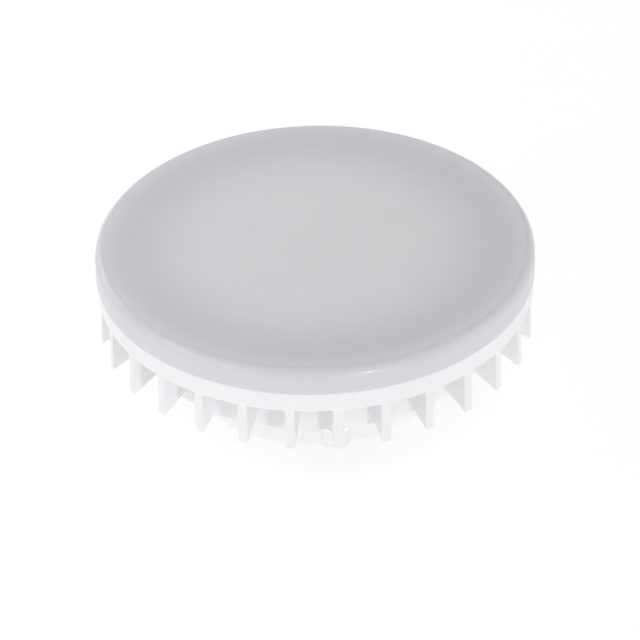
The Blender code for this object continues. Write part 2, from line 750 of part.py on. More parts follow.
def make_pin_leads():
    """Leads from the pins' flanges over the rim of the spigot's bore and down to the driver board."""
    start = PIN_FLANGE_TOP + CLEARANCE
    arch = start + (SPREADER_BOTTOM - start) / 3
    inside = BORE_RADIUS - LEAD_RADIUS * 5
    for name, azimuth in zip(("pin_lead_front", "pin_lead_rear"), around(2, PIN_AZIMUTH)):
        stops = [
            on_circle(PIN_CIRCLE, azimuth, start),
            on_circle(PIN_CIRCLE - LEAD_RADIUS, azimuth, (start + arch) / 2),
            on_circle((PIN_CIRCLE + BORE_RADIUS) / 2, azimuth, arch),
            on_circle(inside, azimuth, (PLATE_TOP + arch) / 2),
            on_circle(inside - LEAD_RADIUS, azimuth, PLATE_TOP - HOUSING_WALL),
            on_circle(inside - LEAD_RADIUS * 2, azimuth, DRIVER_PART_BOTTOM),
        ]
        add_lead(name, stops, "lead_white")


def make_board_leads():
    """Leads from the driver board up through the lead hole and over into the connector."""
    port = CHIP_BOTTOM + CONNECTOR_HEIGHT / 2
    foot = DRIVER_BOARD_RADIUS * BOARD_LEAD_PLACE
    for name, x, material in zip(
        ("board_lead_negative", "board_lead_positive"), lead_places(), ("lead_black", "lead_red")
    ):
        stops = [
            Vector((x, foot, DRIVER_PART_BOTTOM)),
            Vector((x, foot * 0.95, (DRIVER_PART_BOTTOM + PLATE_TOP) / 2)),
            Vector((x, (foot * 0.3 - LEAD_HOLE_OFFSET * 0.7), (PLATE_TOP + SPREADER_BOTTOM) / 2)),
            Vector((x, -LEAD_HOLE_OFFSET, SPREADER_BOTTOM)),
            Vector((x, -LEAD_HOLE_OFFSET, BOARD_TOP)),
            Vector((x, -LEAD_HOLE_OFFSET * 0.8, port - LEAD_RADIUS / 2)),
            Vector((x, -CONNECTOR_WIDTH / 2 - LEAD_RADIUS, port)),
            Vector((x, -CONNECTOR_WIDTH / 2 + LEAD_RADIUS * 1.4, port)),
        ]
        add_lead(name, stops, material)


clear_scene()
PARTS = new_collection("led_disc_lamp")
CUTTERS = new_collection("cutters")

make_housing()
make_diffuser()
make_heat_spreader()
make_light_board()
make_light_chips()
make_connector()
make_screws()
make_pins()
make_driver_board()
make_capacitors()
make_inductor()
make_resistor()
make_packages()
make_pin_leads()
make_board_leads()
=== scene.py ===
"""Looks of the LED disc lamp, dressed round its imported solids. All sizes are in metres.

Z is the axis of the lamp, the origin is the centre of the spigot's end, and the camera stands on the -Y side.
"""

import math

import bmesh
import bpy
from mathutils import Matrix, Quaternion, Vector


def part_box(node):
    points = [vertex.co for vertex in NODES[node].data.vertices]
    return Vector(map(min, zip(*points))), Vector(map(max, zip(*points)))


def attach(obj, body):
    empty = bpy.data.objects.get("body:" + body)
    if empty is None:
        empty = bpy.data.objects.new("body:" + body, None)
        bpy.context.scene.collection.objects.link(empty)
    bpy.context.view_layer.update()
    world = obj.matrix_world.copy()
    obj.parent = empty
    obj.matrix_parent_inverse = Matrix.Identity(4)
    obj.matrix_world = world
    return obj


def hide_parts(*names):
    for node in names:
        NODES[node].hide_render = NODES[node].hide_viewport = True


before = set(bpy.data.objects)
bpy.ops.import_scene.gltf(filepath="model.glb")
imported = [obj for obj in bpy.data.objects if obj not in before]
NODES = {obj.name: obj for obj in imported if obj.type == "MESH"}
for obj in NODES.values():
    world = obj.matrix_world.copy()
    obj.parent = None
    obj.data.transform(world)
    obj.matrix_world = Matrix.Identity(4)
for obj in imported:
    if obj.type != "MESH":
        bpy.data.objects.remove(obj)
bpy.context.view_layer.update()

# Camera: a long lens, held a little crooked. The view's width is taken at the target, and the sensor's width
# is in millimetres, as Blender has it
VIEW_ELEVATION = math.radians(34.87)
VIEW_ROLL = math.radians(1.32)
VIEW_TARGET = Vector((0.000593, -0.000135, 0.011306))
VIEW_DISTANCE = 3.0
VIEW_WIDTH = 0.1094
SENSOR_WIDTH = 36.0

# Lamps: direction from the target, distance, diameter, and the level that a white surface facing it shows
LAMPS = {
    "left_low": (Vector((-0.86, -0.42, 0.28)), 0.9, 0.30, 0.026),
    "back": (Vector((0.0, 0.80, 0.50)), 0.9, 0.40, 0.052),
    "right_front": (Vector((0.38, -0.86, 0.10)), 0.9, 0.09, 0.170),
    "right_side": (Vector((1.0, -0.12, 0.20)), 0.9, 0.50, 0.105),
    "left_near": (Vector((-0.80, -0.25, 0.45)), 0.2, 0.07, 0.080),
    "back_left_near": (Vector((-0.70, 0.50, 0.40)), 0.2, 0.08, 0.079),
    "front_left_near": (Vector((-0.60, -0.60, 0.30)), 0.2, 0.07, 0.055),
    "spot": (Vector((0.351, -0.477, 0.805)), 0.9, 0.04, 0.008),
}

# Sky: its light on the object at the horizon and overhead, and the height, of 1, at which the change ends
SKY_HORIZON = 0.544
SKY_TOP = 0.516
SKY_BAND = 0.9

# Floor: the camera sees a shade with a glow, which is less by the depth of a painted
# shadow close to the object. The object is lit by a bounce and a light of the floor's own
FLOOR_SIZE = 8.0
FLOOR_DROP = 0.00005
FLOOR_SHADE = 0.33
FLOOR_GLOW = 0.78
SHADOW_DEPTH = 0.15
SHADOW_REACH = 0.012
FLOOR_BOUNCE = 0.88
FLOOR_LIGHT = 0.423
PLAIN_WHITE = (1.0, 1.0, 1.0, 1.0)

# Facets round the turned pieces, across the cover's crown, along a copper land, and to each turn of a thread
# or winding. A tube and the leads are rounded in Blender's own steps
FINE_TURN = 256
PIN_TURN = 72
SMALL_TURN = 48
PAD_TURN = 24
ROD_TURN = 16
CROWN_STEPS = 14
LAND_STEPS = 14
ROWS_PER_TURN = 8
TUBE_RESOLUTION = 4
LEAD_SUBDIVISIONS = 2

# Greatest angle that is shaded smooth, least angle that is rounded, greatest angle between faces that are
# taken as one, least Z of a normal that faces up, and greatest distance between points that are joined
SMOOTH_ANGLE = math.radians(32)
EDGE_ANGLE = math.radians(35)
FLAT_ANGLE = math.radians(0.4)
FACING_UP = 0.9
JOIN_DISTANCE = 0.000002

# Widths of the rounded edges of the solids that keep their shape
HOUSING_EDGE = 0.00018
SPREADER_EDGE = 0.0002
BOARD_EDGE = 0.0001
CONNECTOR_EDGE = 0.00008
PACKAGE_EDGE = 0.00006
FILM_EDGE = 0.00015

# Cover, from its solid's highest point down to the end of its skirt. A fine seam parts it from the collar
COVER_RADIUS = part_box("diffuser")[1].x
COVER_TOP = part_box("diffuser")[1].z
COVER_SEAM = 0.00005
COVER_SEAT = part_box("housing")[1].z + COVER_SEAM
COVER_WALL = 0.0015
COVER_SHOULDER = 0.0017
COVER_INNER_SHOULDER = 0.0008
COVER_CROWN = 0.0003
COVER_EDGE = 0.00018
SKIRT_RADIUS = 0.0353
SKIRT_WALL = 0.0012
SKIRT_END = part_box("diffuser")[0].z

# Reflectance of the cover at distances from its axis, with painted light and shade in it: painted shade over
# the gap round the board, and painted light over the board and at the rim. Its green and blue are shares of
# that, and the blue share grows where the reflectance falls
OPAL_PAINTED_LIGHT_LEVELS = (
    (0.0, 0.789),
    (0.0170, 0.789),
    (0.0205, 0.771),
    (0.0240, 0.736),
    (0.0270, 0.690),
    (0.0295, 0.655),
    (0.0315, 0.644),
    (0.0335, 0.662),
    (0.0352, 0.716),
    (0.0368, 0.762),
    (0.0375, 0.654),
)
OPAL_GREEN = 0.992
OPAL_BLUE = 1.035
OPAL_COOLING = 0.13

# Contact pins
PIN_HEAD_RADIUS = 0.0025
PIN_HEAD_LENGTH = 0.0041
PIN_NECK_RADIUS = 0.0015
PIN_FLANGE_RADIUS = 0.0024
PIN_FLANGE_THICKNESS = 0.0007
PIN_EDGE = 0.0005
PIN_ROUND = 0.00015

# Light board: the first chip and the number of chips of each ring, and the copper lands under the white
# resist. The lands' clearance from a chip's middle and the chip ends' width are shares of the chip's width
CHIP_RINGS = ((1, 12), (13, 6))
CHIP_LENGTH = 0.0035
CHIP_WIDTH = 0.0028
CHIP_WINDOW_DEPTH = 0.00013
CHIP_END = 0.0007
CHIP_END_SHARE = 0.8
LAND_HEIGHT = 0.00004
LAND_WIDTH = 0.0011
LAND_CLEARANCE = 0.3

# Connector: its soldered feet, and the release slots over its two leads
FOOT_WIDTH = 0.0011
FOOT_LENGTH = 0.0016
FOOT_REACH = 0.0022
SLOT_WIDTH = 0.0009
SLOT_LENGTH = 0.0014
SLOT_DEPTH = 0.0006
SLOT_OFFSET = 0.0008
LEAD_SPACING = 0.0018

# Board screws: head and shank, the thread with the steepness of its flanks, and the cross recess
SCREW_HEAD_RADIUS = 0.0027
SCREW_HEAD_HEIGHT = 0.0016
SCREW_SHANK_RADIUS = 0.0013
THREAD_PITCH = 0.0009
THREAD_DEPTH = 0.00028
THREAD_STEEPNESS = 1.5
RECESS_LENGTH = 0.0027
RECESS_WIDTH = 0.0007
RECESS_DEPTH = 0.0010
RECESS_AZIMUTH = 0.4

# Driver's packages: the width of the body between its legs, and its pin-one dimple
PACKAGE_WIDTH = 0.0039
DIMPLE_INSET = 0.0009
DIMPLE_DEPTH = 0.00012
DIMPLE_RADIUS = 0.0004
DIMPLE_CUTTER_RISE = 0.0003

# Can capacitors: the lip as a share of the radius and the scores' length as a share of the lip's, and the
# sleeve's stripe, which ends where the cosine of the angle from its middle has fallen to a limit
CAN_SINK = 0.00025
CAN_LIP = 0.74
GROOVE_HALF_STEPS = 6
SCORE_LENGTH = 1.4
SCORE_WIDTH = 0.00016
SCORE_AZIMUTH = 0.5
STRIPE_AZIMUTH = 2.2
STRIPE_COSINE = 0.94

# Inductor and resistor: their waist as a share of their radius, the winding's pitch, and the resistor's
# colour rings, each with its place along the waist and its material
WAIST = 0.86
WIRE_PITCH = 0.00035
INDUCTOR_EDGE = 0.00025
RESISTOR_RADIUS = 0.0015
RING_WIDTH = 0.0004
RESISTOR_RINGS = ((0.18, 1), (0.38, 2), (0.58, 1), (0.78, 3))

# Legs of the driver's components: how far each pair stands from the component's middle, along X and along Y
LEG_REACHES = {
    "input_capacitor": (0.00175, 0.0),
    "output_capacitor": (0.00125, 0.0),
    "film_capacitor": (0.0, 0.0038),
    "inductor": (0.0025, 0.0),
}
LEG_RADIUS = 0.0003
LEG_SINK = 0.0002

# Soldered joints: the pad on both sides of the board, and the solder's radii and levels down to the leg's tip
JOINT_LENGTH = 0.0007
JOINT_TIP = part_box("driver_board")[0].z - JOINT_LENGTH
PAD_RADIUS = 0.0009
SOLDER_RADIUS = 0.00075
SOLDER_WAIST = 0.0005
SOLDER_WAIST_DEPTH = 0.0003
SOLDER_END = 0.00034
SOLDER_END_LENGTH = 0.0001

# Driver board: the joints that its tracks run between, counted in the order of the legs with the resistor's
# two last. The first track's thickness and what each next one has more, so that no two share a surface where
# they cross, are shares of a land's height. The packages' pads are as wide as a share of their spacing
TRACKS = ((0, 3), (1, 2), (3, 5), (4, 8), (9, 5), (0, 6), (6, 7))
TRACK_THICKNESS = 0.6
TRACK_GROWTH = 0.1
PACKAGE_PADS = (("bridge_rectifier", 2), ("driver_chip", 4))
PACKAGE_PAD_LENGTH = 0.0012
PACKAGE_PAD_SHARE = 0.62
PACKAGE_PAD_INSET = 0.0003


def arc(centre, radius, start, end, steps):
    """Points of an arc in the plane of a turned profile, from one angle to another in degrees."""
    angles = [math.radians(start + (end - start) * step / steps) for step in range(steps + 1)]
    return [(centre[0] + radius * math.cos(a), centre[1] + radius * math.sin(a)) for a in angles]


def add_object(name, data):
    """An object of this mesh, curve, light or camera, in the scene."""
    obj = bpy.data.objects.new(name, data)
    bpy.context.scene.collection.objects.link(obj)
    return obj


def shade(mesh):
    """Smooth shading between the mesh's sharp edges."""
    mesh.shade_smooth()
    mesh.set_sharp_from_angle(angle=SMOOTH_ANGLE)


def finish_mesh(name, shape, *materials):
    """An object from a bmesh, smooth between its sharp edges, that rides on the lamp."""
    mesh = bpy.data.meshes.new(name)
    bmesh.ops.recalc_face_normals(shape, faces=shape.faces)
    shape.to_mesh(mesh)
    shape.free()
    stale = mesh.attributes.get("custom_normal")
    if stale:
        mesh.attributes.remove(stale)
    shade(mesh)
    obj = add_object(name, mesh)
    for material in materials:
        mesh.materials.append(material)
    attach(obj, "root")
    return obj


def stand_for(obj, node):
    """Hides the node, so that the piece made for it shows in its place."""
    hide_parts(node)


def plan_of(node):
    """The middle of a node in plan."""
    low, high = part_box(node)
    return (low.x + high.x) / 2, (low.y + high.y) / 2


def place_of(node):
    """The middle of a node in plan, and its lowest and highest levels."""
    low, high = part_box(node)
    return (*plan_of(node), low.z, high.z)


def revolve(profile, steps, swell=None):
    """A closed solid of revolution from (radius, height) points that start and end on the axis. The swell
    function gives the radius at a height and an angle, for threads and windings."""
    shape = bmesh.new()
    rings = []
    for radius, height in profile:
        if radius < JOIN_DISTANCE:
            rings.append([shape.verts.new((0.0, 0.0, height))])
            continue
        ring = []
        for step in range(steps):
            angle = math.tau * step / steps
            reach = swell(radius, height, angle) if swell else radius
            ring.append(shape.verts.new((reach * math.cos(angle), reach * math.sin(angle), height)))
        rings.append(ring)
    for upper, lower in zip(rings, rings[1:]):
        for step in range(steps):
            after = (step + 1) % steps
            if len(upper) == 1:
                shape.faces.new((upper[0], lower[step], lower[after]))
            elif len(lower) == 1:
                shape.faces.new((upper[step], lower[0], upper[after]))
            else:
                shape.faces.new((upper[step], lower[step], lower[after], upper[after]))
    return shape


def node_copy(node):
    """A bmesh of a CAD node with its split corners joined and its flat faces whole."""
    shape = bmesh.new()
    shape.from_mesh(NODES[node].data)
    bmesh.ops.remove_doubles(shape, verts=shape.verts, dist=JOIN_DISTANCE)
    bmesh.ops.dissolve_limit(
        shape, angle_limit=FLAT_ANGLE, verts=shape.verts, edges=shape.edges, use_dissolve_boundaries=False
    )
    return shape


def apply_modifiers(obj):
    """Makes an object's mesh what its modifiers make of it."""
    graph = bpy.context.evaluated_depsgraph_get()
    mesh = bpy.data.meshes.new_from_object(obj.evaluated_get(graph))
    obj.modifiers.clear()
    obj.data = mesh


def settle(obj):
    """Applies an object's modifiers and shades the result."""
    apply_modifiers(obj)
    shade(obj.data)
    return obj


def bevel(obj, width, segments=2):
    """Rounds an object's sharp edges. Its flat faces stay evenly shaded up to them."""
    modifier = obj.modifiers.new("edges", "BEVEL")
    modifier.width = width
    modifier.segments = segments
    modifier.limit_method = "ANGLE"
    modifier.angle_limit = EDGE_ANGLE
    modifier.miter_outer = "MITER_ARC"
    modifier.use_clamp_overlap = True
    settle(obj)
    obj.modifiers.new("normals", "WEIGHTED_NORMAL").keep_sharp = True
    apply_modifiers(obj)
    return obj


def cut(obj, shape):
    """Takes a closed bmesh out of an object."""
    mesh = bpy.data.meshes.new("cutter")
    bmesh.ops.recalc_face_normals(shape, faces=shape.faces)
    shape.to_mesh(mesh)
    shape.free()
    cutter = add_object("cutter", mesh)
    modifier = obj.modifiers.new("cut", "BOOLEAN")
    modifier.operation = "DIFFERENCE"
    modifier.solver = "EXACT"
    modifier.object = cutter
    settle(obj)
    bpy.data.objects.remove(cutter)


def block(size, centre, turn=0.0):
    """A box of this size about a centre, turned about the vertical."""
    shape = bmesh.new()
    place = Matrix.Translation(centre) @ Matrix.Rotation(turn, 4, "Z") @ Matrix.Diagonal((*size, 1.0))
    bmesh.ops.create_cube(shape, size=1.0, matrix=place)
    return shape


def move(shape, x, y):
    """Moves a bmesh in plan."""
    bmesh.ops.translate(shape, vec=(x, y, 0.0), verts=shape.verts)
    return shape


def merge(shape, other, index=0):
    """Adds another closed bmesh, in the material of this index."""
    for face in other.faces:
        face.material_index = index
    mesh = bpy.data.meshes.new("piece")
    other.to_mesh(mesh)
    other.free()
    shape.from_mesh(mesh)
    bpy.data.meshes.remove(mesh)


def rod(x, y, low, high, radius, steps=ROD_TURN):
    """An upright round bar with chamfered ends."""
    edge = radius / 4
    top = [(0.0, high), (radius - edge, high), (radius, high - edge)]
    bottom = [(radius, low + edge), (radius - edge, low), (0.0, low)]
    return move(revolve(top + bottom, steps), x, y)


def tube(route, radius):
    """A closed round bar along a route."""
    curve = bpy.data.curves.new("route", "CURVE")
    curve.dimensions = "3D"
    curve.bevel_depth = radius
    curve.bevel_resolution = TUBE_RESOLUTION
    curve.use_fill_caps = True
    spline = curve.splines.new("POLY")
    spline.points.add(len(route) - 1)
    for point, place in zip(spline.points, route):
        point.co = (*place, 1.0)
    guide = add_object("route", curve)
    graph = bpy.context.evaluated_depsgraph_get()
    mesh = bpy.data.meshes.new_from_object(guide.evaluated_get(graph))
    shape = bmesh.new()
    shape.from_mesh(mesh)
    bmesh.ops.remove_doubles(shape, verts=shape.verts, dist=JOIN_DISTANCE)
    bpy.data.objects.remove(guide)
    bpy.data.meshes.remove(mesh)
    return shape


def arc_strip(radius, width, low, high, start, end):
    """A flat closed strip along an arc about the lamp's axis, between two azimuths in degrees."""
    shape = bmesh.new()
    inner, outer = radius - width / 2, radius + width / 2
    stations = []
    for step in range(LAND_STEPS + 1):
        angle = math.radians(start + (end - start) * step / LAND_STEPS)
        corners = []
        for reach, z in ((inner, low), (outer, low), (outer, high), (inner, high)):
            corners.append(shape.verts.new((reach * math.cos(angle), reach * math.sin(angle), z)))
        stations.append(corners)
    for first, second in zip(stations, stations[1:]):
        for side in range(4):
            after = (side + 1) % 4
            shape.faces.new((first[side], first[after], second[after], second[side]))
    shape.faces.new(stations[0])
    shape.faces.new(stations[-1])
    return shape


# Material nodes

# Sockets of a Mix node that mixes colours
MIX_FACTOR, MIX_FIRST, MIX_SECOND, MIX_RESULT = 0, 6, 7, 2


def feed(tree, socket, value):
    """Links another node's output to a socket, or sets the socket's own value."""
    if isinstance(value, bpy.types.NodeSocket):
        tree.links.new(value, socket)
    else:
        socket.default_value = value


def add_node(tree, kind, *values, **named):
    """A new node whose sockets are fed with these values, in order or by name."""
    node = tree.nodes.new(kind)
    for socket, value in zip(node.inputs, values):
        feed(tree, socket, value)
    for name, value in named.items():
        feed(tree, node.inputs[name], value)
    return node


def new_material(name, colour, roughness, metallic=0.0):
    """A material whose Principled shader has these even values, with its node tree and shader."""
    material = bpy.data.materials.new(name)
    material.use_nodes = True
    shader = material.node_tree.nodes["Principled BSDF"]
    shader.inputs["Base Color"].default_value = (*colour, 1.0)
    shader.inputs["Roughness"].default_value = roughness
    shader.inputs["Metallic"].default_value = metallic
    return material, material.node_tree, shader


def coordinates(tree):
    """The place on the object, in metres."""
    return add_node(tree, "ShaderNodeTexCoord").outputs["Object"]


def noise(tree, vector, scale, detail=3.0):
    """A noise of about 0.3 to 0.7, with this many waves to a metre."""
    return add_node(tree, "ShaderNodeTexNoise", Vector=vector, Scale=scale, Detail=detail).outputs["Fac"]


def spread(tree, value, low, high, start=0.3, end=0.7):
    """Maps a value, such as a noise, onto a range."""
    ends = {"From Min": start, "From Max": end, "To Min": low, "To Max": high}
    return add_node(tree, "ShaderNodeMapRange", Value=value, **ends).outputs["Result"]


def mix_colours(tree, factor, first, second, blend="MIX"):
    """The first colour where the factor is 0, and the second laid over it in this way where it is 1."""
    node = tree.nodes.new("ShaderNodeMix")
    node.data_type = "RGBA"
    node.blend_type = blend
    feed(tree, node.inputs[MIX_FACTOR], factor)
    feed(tree, node.inputs[MIX_FIRST], first)
    feed(tree, node.inputs[MIX_SECOND], second)
    return node.outputs[MIX_RESULT]


def vary_colour(tree, shader, value, colour, loss):
    """Lets a noise take up to this share of the colour away."""
    duller = tuple(channel * (1 - loss) for channel in colour)
    varied = mix_colours(tree, spread(tree, value, 0.0, 1.0), (*duller, 1.0), (*colour, 1.0))
    feed(tree, shader.inputs["Base Color"], varied)


def vary_roughness(tree, shader, value, roughness, below, above):
    """Lets a noise move the roughness by so much below and above its middle."""
    feed(tree, shader.inputs["Roughness"], spread(tree, value, roughness - below, roughness + above))


def bump(tree, shader, height, distance):
    """Adds a relief of this depth to what the shader already has."""
    node = add_node(tree, "ShaderNodeBump", Strength=1.0, Distance=distance, Height=height)
    normal = shader.inputs["Normal"]
    if normal.is_linked:
        feed(tree, node.inputs["Normal"], normal.links[0].from_socket)
    feed(tree, normal, node.outputs["Normal"])


# Materials

# Scales of their noises, in waves to a metre
CLOUD_SCALE = 90.0
OPAL_CLOUD_SCALE = 160.0
SHEET_CLOUD_SCALE = 240.0
RIPPLE_SCALE = 260.0
GLOSS_SCALE = 420.0
OPAL_GLOSS_SCALE = 500.0
STAIN_SCALE = 700.0
OPAL_GRAIN_SCALE = 4200.0
GRAIN_SCALE = 5200.0
SCRATCH_SCALE = 6000.0
TOOL_MARK_SCALE = 9000.0

# Depths of their reliefs, with a ripple's as a multiple of the grain's
RIPPLE_GRAINS = 4
OPAL_GRAIN = 0.0000025
SCRATCH_DEPTH = 0.000004
TOOL_MARK_DEPTH = 0.000003

# Roughness and coat of the opal cover, the least share of its tone that its clouds leave, the share of their
# waves that scratches have along them, and the share of its colour that stained sheet loses
OPAL_ROUGHNESS = 0.36
OPAL_COAT = 0.12
OPAL_COAT_ROUGHNESS = 0.10
OPAL_MOTTLE = 0.985
SCRATCH_STRETCH = 0.03
SHEET_STAIN = 0.12


def moulded_plastic(name, colour, roughness, grain=0.000004, flow=0.03):
    """Injection-moulded plastic: a fine grain on slow ripples, uneven gloss and faint clouds of colour."""
    material, tree, shader = new_material(name, colour, roughness)
    place = coordinates(tree)
    vary_colour(tree, shader, noise(tree, place, CLOUD_SCALE, detail=4.0), colour, flow)
    vary_roughness(tree, shader, noise(tree, place, GLOSS_SCALE), roughness, below=0.05, above=0.05)
    bump(tree, shader, noise(tree, place, GRAIN_SCALE, detail=2.0), grain)
    bump(tree, shader, noise(tree, place, RIPPLE_SCALE, detail=2.0), grain * RIPPLE_GRAINS)
    return material


def opal_colour(level):
    """The colour of a reflectance, a little cooler where it is low, so that the painted shade is cooler."""
    cool = OPAL_BLUE + (OPAL_PAINTED_LIGHT_LEVELS[0][1] - level) * OPAL_COOLING
    return (level, level * OPAL_GREEN, level * cool, 1.0)


def opal_material():
    """Opal polycarbonate. Light that goes in through the cover is lost over the gap round the board, and
    comes back over the board and at the rim; this light and shade is painted into its colour, which changes
    with the distance from the axis."""
    material, tree, shader = new_material("opal_polycarbonate", (0.64, 0.635, 0.665), OPAL_ROUGHNESS)
    place = coordinates(tree)
    flat = add_node(tree, "ShaderNodeVectorMath", place, (1 / COVER_RADIUS, 1 / COVER_RADIUS, 0.0))
    flat.operation = "MULTIPLY"
    length = add_node(tree, "ShaderNodeVectorMath", flat.outputs[0])
    length.operation = "LENGTH"
    # The ramp paints the light and shade that come through the cover into its colour
    ramp = add_node(tree, "ShaderNodeValToRGB", length.outputs["Value"])
    ramp.color_ramp.interpolation = "B_SPLINE"
    while len(ramp.color_ramp.elements) < len(OPAL_PAINTED_LIGHT_LEVELS):
        ramp.color_ramp.elements.new(0.5)
    for element, (radius, level) in zip(ramp.color_ramp.elements, OPAL_PAINTED_LIGHT_LEVELS):
        element.position = radius / COVER_RADIUS
        element.color = opal_colour(level)
    mottle = spread(tree, noise(tree, place, OPAL_CLOUD_SCALE), OPAL_MOTTLE, 1.0)
    shaded = mix_colours(tree, 1.0, ramp.outputs["Color"], mottle, "MULTIPLY")
    feed(tree, shader.inputs["Base Color"], shaded)
    gloss = noise(tree, place, OPAL_GLOSS_SCALE)
    vary_roughness(tree, shader, gloss, OPAL_ROUGHNESS, below=0.04, above=0.04)
    shader.inputs["Coat Weight"].default_value = OPAL_COAT
    shader.inputs["Coat Roughness"].default_value = OPAL_COAT_ROUGHNESS
    bump(tree, shader, noise(tree, place, OPAL_GRAIN_SCALE, detail=2.0), OPAL_GRAIN)
    return material


def turned_metal(name, colour, roughness, stained=0.1):
    """Turned and plated metal: fine tool marks round its axis, and faint stains."""
    material, tree, shader = new_material(name, colour, roughness, metallic=1.0)
    place = coordinates(tree)
    height = add_node(tree, "ShaderNodeSeparateXYZ", place).outputs["Z"]
    axis = add_node(tree, "ShaderNodeCombineXYZ", Z=height).outputs[0]
    marks = noise(tree, axis, TOOL_MARK_SCALE, detail=2.0)
    vary_roughness(tree, shader, marks, roughness, below=0.06, above=0.08)
    bump(tree, shader, marks, TOOL_MARK_DEPTH)
    vary_colour(tree, shader, noise(tree, place, STAIN_SCALE, detail=4.0), colour, stained)
    return material


def sheet_metal(name, colour, roughness):
    """Rolled or pressed sheet: fine scratches along one direction, and faint clouds."""
    material, tree, shader = new_material(name, colour, roughness, metallic=1.0)
    place = coordinates(tree)
    stretched = add_node(tree, "ShaderNodeMapping", Vector=place, Scale=(SCRATCH_STRETCH, 1.0, 1.0))
    scratches = noise(tree, stretched.outputs[0], SCRATCH_SCALE)
    vary_roughness(tree, shader, scratches, roughness, below=0.08, above=0.10)
    bump(tree, shader, scratches, SCRATCH_DEPTH)
    vary_colour(tree, shader, noise(tree, place, SHEET_CLOUD_SCALE, detail=4.0), colour, SHEET_STAIN)
    return material


WHITE = moulded_plastic("white_pbt", (0.87, 0.868, 0.885), 0.44)
OPAL = opal_material()
NICKEL = turned_metal("nickel_plate", (0.905, 0.905, 0.918), 0.30, stained=0.04)
ALUMINIUM = sheet_metal("pressed_aluminium", (0.78, 0.79, 0.80), 0.34)
ZINC = turned_metal("zinc_plate", (0.62, 0.63, 0.65), 0.30)
SOLDER_RESIST_WHITE = moulded_plastic("white_resist", (0.88, 0.88, 0.86), 0.32, 0.000003)
SOLDER_RESIST_GREEN = moulded_plastic("green_resist", (0.03, 0.22, 0.10), 0.30, 0.000003, 0.25)
PHOSPHOR = moulded_plastic("phosphor", (0.93, 0.74, 0.16), 0.28, 0.000002, 0.06)
CHIP_WHITE = moulded_plastic("chip_package", (0.90, 0.90, 0.88), 0.35)
NYLON = moulded_plastic("white_nylon", (0.86, 0.86, 0.83), 0.42)
EPOXY = moulded_plastic("black_epoxy", (0.028, 0.028, 0.030), 0.48, 0.000006, 0.3)
TIN = turned_metal("tinned_legs", (0.70, 0.70, 0.70), 0.30)
SLEEVE = moulded_plastic("shrink_sleeve", (0.035, 0.045, 0.075), 0.30, 0.000002, 0.2)
FILM_BOX = moulded_plastic("film_box", (0.76, 0.50, 0.06), 0.38, 0.000003, 0.08)
FERRITE = moulded_plastic("ferrite", (0.07, 0.065, 0.065), 0.55, 0.000008, 0.3)
RESISTOR_COAT = moulded_plastic("flameproof_coat", (0.30, 0.50, 0.56), 0.50, 0.000008, 0.12)
INSULATION_WHITE = moulded_plastic("white_silicone", (0.84, 0.84, 0.81), 0.50)
INSULATION_BLACK = moulded_plastic("black_pvc", (0.028, 0.028, 0.030), 0.40, 0.000003, 0.25)
INSULATION_RED = moulded_plastic("red_pvc", (0.62, 0.035, 0.025), 0.40, 0.000003, 0.15)
STRIPE = moulded_plastic("sleeve_stripe", (0.55, 0.57, 0.60), 0.30, 0.000002)
LAND_WHITE = moulded_plastic("white_resist_over_copper", (0.84, 0.83, 0.79), 0.30, 0.000003)
LAND_GREEN = moulded_plastic("green_resist_over_copper", (0.06, 0.34, 0.15), 0.28, 0.000003, 0.15)
COPPER = turned_metal("enamelled_copper", (0.74, 0.34, 0.17), 0.26)


# Pieces


def make_cover():
    """The opal cover: a shallow dish with a rounded shoulder on the collar, with its snap-in skirt."""
    crown = COVER_TOP - COVER_CROWN
    ceiling = crown - COVER_WALL
    flat_radius = COVER_RADIUS - COVER_SHOULDER
    inner_radius = SKIRT_RADIUS - SKIRT_WALL
    ceiling_radius = inner_radius - COVER_INNER_SHOULDER
    inner_shoulder = (ceiling_radius, ceiling - COVER_INNER_SHOULDER)

    def dome(radius, height):
        """A point of the crown that rises from this height towards the axis."""
        return (radius, height + COVER_CROWN * (1 - (radius / flat_radius) ** 2))

    profile = [dome(flat_radius * step / CROWN_STEPS, crown) for step in range(CROWN_STEPS)]
    profile += arc((flat_radius, crown - COVER_SHOULDER), COVER_SHOULDER, 90, 0, steps=16)
    profile += arc((COVER_RADIUS - COVER_EDGE, COVER_SEAT + COVER_EDGE), COVER_EDGE, 0, -90, steps=5)
    profile += [(SKIRT_RADIUS, COVER_SEAT), (SKIRT_RADIUS, SKIRT_END + COVER_EDGE)]
    profile += [(SKIRT_RADIUS - COVER_EDGE, SKIRT_END), (inner_radius, SKIRT_END)]
    profile += arc(inner_shoulder, COVER_INNER_SHOULDER, 0, 90, steps=8)
    profile += [dome(ceiling_radius * step / CROWN_STEPS, ceiling) for step in reversed(range(CROWN_STEPS))]
    cover = finish_mesh("opal_cover", revolve(profile, FINE_TURN), OPAL)
    stand_for(cover, "diffuser")


def make_housing():
    """The white moulding, with its edges rounded."""
    housing = finish_mesh("housing_moulding", node_copy("housing"), WHITE)
    stand_for(bevel(housing, HOUSING_EDGE, segments=3), "housing")


